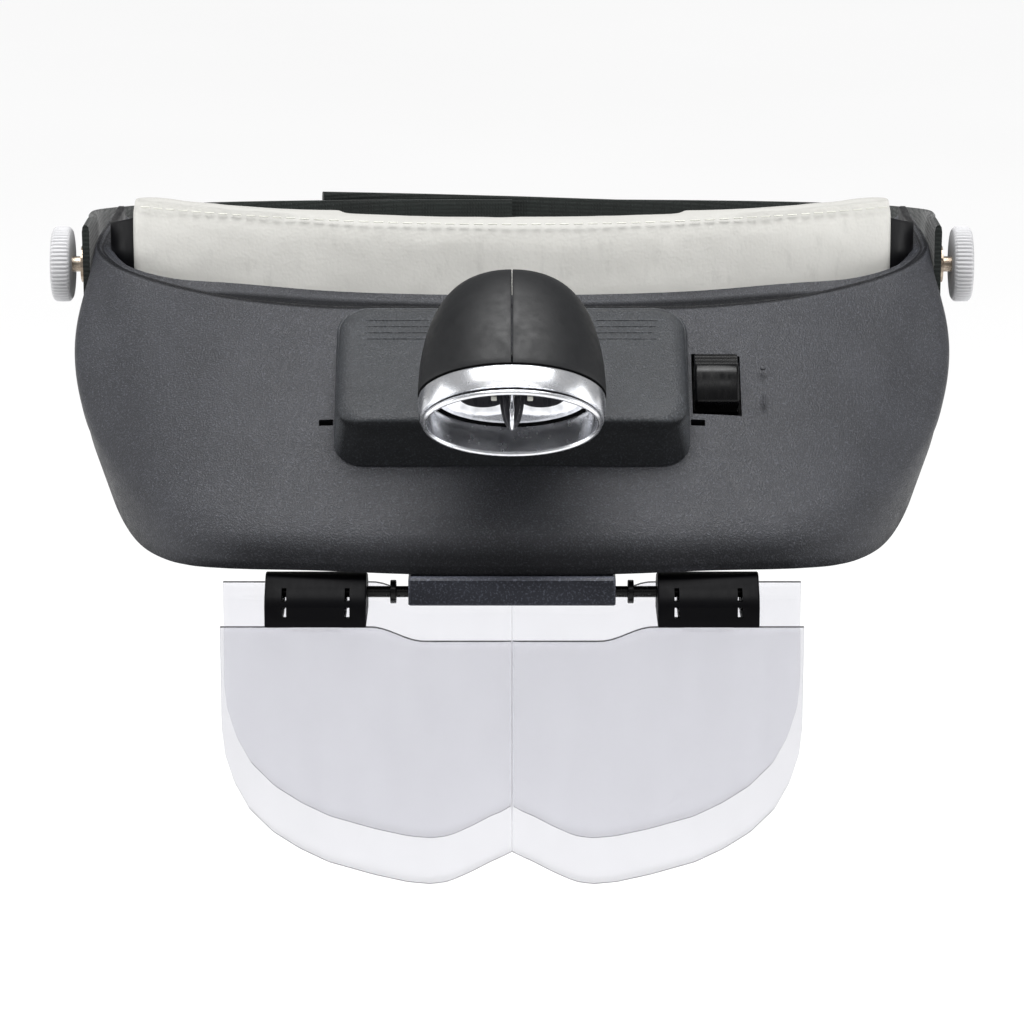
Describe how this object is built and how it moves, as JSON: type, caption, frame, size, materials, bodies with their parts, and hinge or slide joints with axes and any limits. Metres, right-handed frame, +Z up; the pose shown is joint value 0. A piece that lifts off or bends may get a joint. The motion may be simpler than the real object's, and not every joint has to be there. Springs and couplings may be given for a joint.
{
  "type": "head visor magnifier",
  "caption": "Head-worn magnifier: padded band and rear straps, tilting dark visor with flip-down clear lens plates, battery box, slide switch and an aimed lamp.",
  "frame": {"origin": "midway between the two tilt knobs, on their common axis, where the headband sits level with the wearer's temples", "axes": "+X to the wearer's left, -Y the way the wearer looks, +Z up"},
  "size_m": [0.226, 0.2704, 0.1433],
  "materials": {
    "hood_plastic": "fine textured satin, dark grey",
    "box_plastic": "fine textured satin, dark grey",
    "inner_plastic": "plain moulded, near black",
    "leatherette": "soft grained leatherette, warm light grey",
    "strap": "woven strap, dark green-black",
    "hook_tape": "hook tape, near black",
    "band_plastic": "satin black",
    "knob_plastic": "satin off-white, knurled rim",
    "screw_steel": "dull plated steel",
    "bright_steel": "bright drawn steel",
    "gloss_black": "gloss black",
    "clear_acrylic": "clear polished acrylic, faint cool grey",
    "lamp_plastic": "satin near black",
    "chrome": "bright chrome plating",
    "cell_jacket": "printed foil jacket, plain two colour",
    "contact_metal": "nickel plated spring steel",
    "led_resin": "clear resin over a pale chip",
    "board": "green circuit board"
  },
  "bodies": {
    "headband": {"headband_frame": "band_plastic", "forehead_pad": "leatherette", "strap_left": "strap", "strap_right": "strap", "hook_patch": "hook_tape", "pivot_screw_left": "screw_steel", "pivot_screw_right": "screw_steel", "washer_inner_left": "screw_steel", "washer_inner_right": "screw_steel", "washer_outer_left": "screw_steel", "washer_outer_right": "screw_steel"},
    "visor": {"visor_shell": "hood_plastic", "hinge_block": "box_plastic", "battery_box": "box_plastic", "battery_tray": "inner_plastic", "cell_upper": "cell_jacket", "cell_lower": "cell_jacket", "contact_bridge": "contact_metal", "terminal_upper": "contact_metal", "terminal_lower": "contact_metal", "contact_spring_upper": "contact_metal", "contact_spring_lower": "contact_metal", "switch_body": "inner_plastic", "lamp_pin": "bright_steel"},
    "knob_left_body": {"knob_left": "knob_plastic"},
    "knob_right_body": {"knob_right": "knob_plastic"},
    "lens_carrier": {"lens_shaft": "bright_steel", "retaining_ring_left": "gloss_black", "retaining_ring_right": "gloss_black", "lens_clip_left": "gloss_black", "lens_clip_right": "gloss_black"},
    "front_plate": {"lens_plate_front": "clear_acrylic"},
    "rear_plate": {"lens_plate_rear": "clear_acrylic"},
    "lamp_head": {"lamp_shell_left": "lamp_plastic", "lamp_shell_right": "lamp_plastic", "lamp_bezel": "chrome", "lamp_reflector": "chrome", "led_board": "board", "led_left": "led_resin", "led_right": "led_resin"},
    "door": {"battery_door": "inner_plastic"},
    "switch": {"switch_knob": "gloss_black"}
  },
  "joints": [
    {"name": "visor_tilt", "type": "hinge", "parent": "headband", "child": "visor", "pos_m": [0, 0, 0], "axis": [-1, 0, 0], "range_deg": [-10, 33]},
    {"name": "knob_left_turn", "type": "hinge", "parent": "headband", "child": "knob_left_body", "pos_m": [0.1082, 0, 0], "axis": [1, 0, 0], "continuous": true},
    {"name": "knob_right_turn", "type": "hinge", "parent": "headband", "child": "knob_right_body", "pos_m": [-0.1082, 0, 0], "axis": [-1, 0, 0], "continuous": true},
    {"name": "lens_flip", "type": "hinge", "parent": "visor", "child": "lens_carrier", "pos_m": [0, -0.092, -0.0574], "axis": [-1, 0, 0], "range_deg": [-8, 47]},
    {"name": "front_plate_slide", "type": "slide", "parent": "lens_carrier", "child": "front_plate", "axis": [0, 0, -1], "range_m": [0, 0.008]},
    {"name": "rear_plate_slide", "type": "slide", "parent": "lens_carrier", "child": "rear_plate", "axis": [0, 0, -1], "range_m": [0, 0.009]},
    {"name": "lamp_tilt", "type": "hinge", "parent": "visor", "child": "lamp_head", "pos_m": [0, -0.0756, -0.0112], "axis": [-1, 0, 0], "range_deg": [-15, 40]},
    {"name": "door_slide", "type": "slide", "parent": "visor", "child": "door", "axis": [-1, 0, 0], "range_m": [0, 0.02]},
    {"name": "switch_slide", "type": "slide", "parent": "visor", "child": "switch", "axis": [0, -0.7547, -0.6561], "range_m": [0, 0.0022]}
  ]
}
